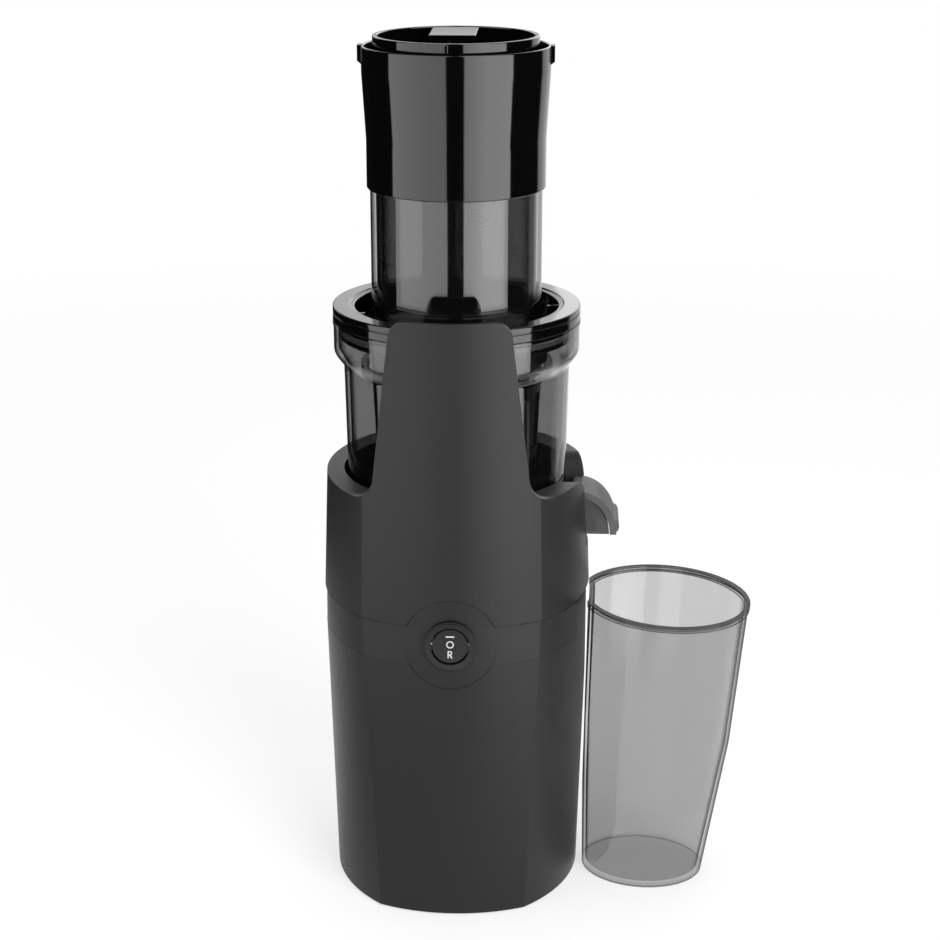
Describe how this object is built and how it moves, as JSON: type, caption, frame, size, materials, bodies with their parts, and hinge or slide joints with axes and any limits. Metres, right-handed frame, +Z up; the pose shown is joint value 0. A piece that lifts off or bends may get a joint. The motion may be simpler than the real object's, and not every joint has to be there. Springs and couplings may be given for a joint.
{
  "type": "cold press juicer",
  "caption": "Slow juicer: tapered dark body with a front tongue, clear smoky drum with auger and strainer, lid with a wide feed chute and pusher, round rocker switch and a loose juice cup.",
  "frame": {"origin": "on the drive axis, in the plane of the floor that the feet and the round pad stand on", "axes": "+Z up along the drive axis; -Y is the front with the switch; +X is the side with the juice spout and cup"},
  "size_m": [0.2307, 0.1597, 0.46],
  "materials": {
    "body_plastic": "fine matte grain",
    "base_plastic": "matte",
    "gloss_black": "high gloss",
    "smoky_clear": "clear smoky tint",
    "pale_smoky_clear": "clear light smoky tint",
    "auger_plastic": "satin",
    "nylon": "satin",
    "mark_paint": "flat",
    "rubber": "matte",
    "silicone": "satin",
    "steel": "machined",
    "motor_metal": "satin",
    "circuit_board": "satin"
  },
  "bodies": {
    "base": {"lower_shell": "body_plastic", "upper_housing": "body_plastic", "bottom_cover": "base_plastic", "rubber_feet": "rubber", "rest_pad": "rubber", "base_screws": "steel", "body_screws": "steel", "motor_bracket": "steel", "bracket_screws": "steel", "motor_can": "motor_metal", "motor_end_cap": "motor_metal", "motor_bearing": "steel", "gearbox_housing": "motor_metal", "gearbox_lid": "motor_metal", "gearbox_screws": "steel", "counter_pin": "steel", "output_bearings": "steel", "shaft_seal": "rubber", "control_board": "circuit_board", "board_screws": "steel", "capacitor": "gloss_black", "terminal_block": "nylon", "cord_bushing": "rubber", "lock_sensor": "nylon", "switch_body": "gloss_black", "switch_bezel": "body_plastic", "rocker_pin": "steel"},
    "switch_rocker": {"rocker": "gloss_black", "rocker_marks": "mark_paint"},
    "motor_rotor": {"motor_shaft": "steel", "motor_pinion": "steel", "cooling_fan": "nylon"},
    "countershaft": {"counter_gear": "nylon"},
    "output": {"output_shaft": "steel", "output_gear": "steel"},
    "pressing_drum": {"drum": "smoky_clear", "drum_seal": "silicone", "lock_magnet": "motor_metal", "juice_spout": "smoky_clear", "hinge_pins": "steel", "pulp_outlet": "smoky_clear", "idler_pins": "steel", "strainer_frame": "auger_plastic", "strainer_mesh": "steel"},
    "spout_cover": {"spout_cap": "pale_smoky_clear", "spout_cap_seal": "silicone"},
    "pulp_gate": {"pulp_flap": "silicone"},
    "idler_left": {"left_idler": "nylon"},
    "idler_right": {"right_idler": "nylon"},
    "brush": {"brush_carrier": "smoky_clear", "brush_wipers": "silicone"},
    "auger": {"auger_hub": "steel", "auger_screw": "auger_plastic"},
    "lid_assembly": {"lid": "gloss_black", "lid_seal": "silicone", "feed_chute": "smoky_clear", "chute_sleeve": "gloss_black"},
    "pusher": {"pusher_tube": "pale_smoky_clear", "pusher_cap": "gloss_black"},
    "cup": {"juice_cup": "pale_smoky_clear"}
  },
  "joints": [
    {"name": "output_spin", "type": "hinge", "parent": "base", "child": "output", "pos_m": [0, 0, 0.15], "axis": [0, 0, 1], "continuous": true},
    {"name": "countershaft_spin", "type": "hinge", "parent": "base", "child": "countershaft", "pos_m": [0, 0.036, 0.12], "axis": [0, 0, 1], "continuous": true},
    {"name": "motor_spin", "type": "hinge", "parent": "base", "child": "motor_rotor", "pos_m": [0, 0, 0.06], "axis": [0, 0, 1], "continuous": true},
    {"name": "switch_rock", "type": "hinge", "parent": "base", "child": "switch_rocker", "pos_m": [0, -0.0716, 0.158], "axis": [1, 0, 0], "range_deg": [-10, 10]},
    {"name": "drum_lift", "type": "slide", "parent": "base", "child": "pressing_drum", "axis": [0, 0, 1], "range_m": [0, 0.14]},
    {"name": "auger_spin", "type": "hinge", "parent": "pressing_drum", "child": "auger", "pos_m": [0, 0, 0.25], "axis": [0, 0, 1], "continuous": true},
    {"name": "idler_left_spin", "type": "hinge", "parent": "pressing_drum", "child": "idler_left", "pos_m": [-0.024, 0, 0.195], "axis": [0, 0, 1], "continuous": true},
    {"name": "idler_right_spin", "type": "hinge", "parent": "pressing_drum", "child": "idler_right", "pos_m": [0.024, 0, 0.195], "axis": [0, 0, 1], "continuous": true},
    {"name": "brush_spin", "type": "hinge", "parent": "pressing_drum", "child": "brush", "pos_m": [0, 0, 0.195], "axis": [0, 0, 1], "continuous": true},
    {"name": "spout_cap_hinge", "type": "hinge", "parent": "pressing_drum", "child": "spout_cover", "pos_m": [0.0645, 0, 0.2198], "axis": [0, -1, 0], "range_deg": [0, 70]},
    {"name": "pulp_flap_hinge", "type": "hinge", "parent": "pressing_drum", "child": "pulp_gate", "pos_m": [0, 0.0777, 0.2109], "axis": [1, 0, 0], "range_deg": [0, 50]},
    {"name": "lid_lift", "type": "slide", "parent": "pressing_drum", "child": "lid_assembly", "axis": [0, 0, 1], "range_m": [0, 0.1]},
    {"name": "pusher_lift", "type": "slide", "parent": "lid_assembly", "child": "pusher", "axis": [0, 0, 1], "range_m": [0, 0.145]},
    {"name": "cup_slide", "type": "slide", "parent": "base", "child": "cup", "axis": [1, 0, 0], "range_m": [0, 0.15]}
  ],
  "couplings": [
    {"joint": "countershaft_spin", "follows": "output_spin", "ratio": -3},
    {"joint": "motor_spin", "follows": "output_spin", "ratio": 9},
    {"joint": "auger_spin", "follows": "output_spin", "ratio": 1},
    {"joint": "idler_left_spin", "follows": "output_spin", "ratio": -1},
    {"joint": "idler_right_spin", "follows": "output_spin", "ratio": -1},
    {"joint": "brush_spin", "follows": "output_spin", "ratio": -0.33333}
  ]
}
